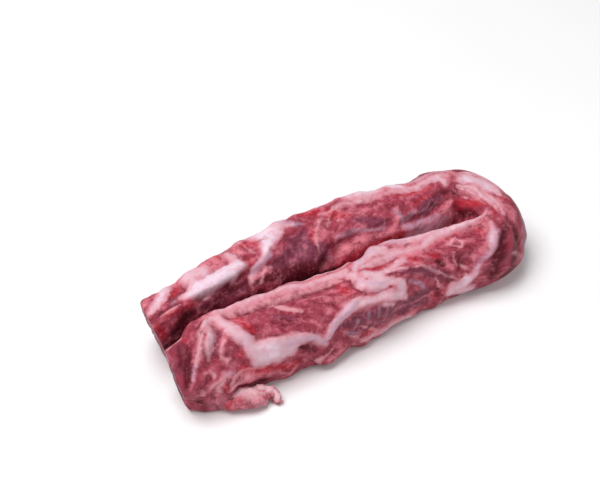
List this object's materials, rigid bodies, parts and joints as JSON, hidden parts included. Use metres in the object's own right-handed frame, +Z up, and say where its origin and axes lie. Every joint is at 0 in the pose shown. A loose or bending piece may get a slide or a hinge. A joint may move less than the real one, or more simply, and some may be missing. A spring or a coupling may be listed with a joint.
{
  "type": "raw beef rib finger",
  "caption": "Raw strip of beef from between the ribs, folded once like a hairpin, with marbled red meat, pale fat patches, a rim of fat and a small loose flap",
  "frame": {"origin": "on the table, under the middle of the bounding box", "axes": "+X along the strip's two limbs towards the fold, -Y towards the front limb, +Z up"},
  "size_m": [0.1716, 0.0658, 0.0327],
  "materials": {
    "raw_meat": "moist raw muscle with pale fat and silverskin"
  },
  "bodies": {
    "root": {"rib_finger": "raw_meat"}
  },
  "joints": []
}
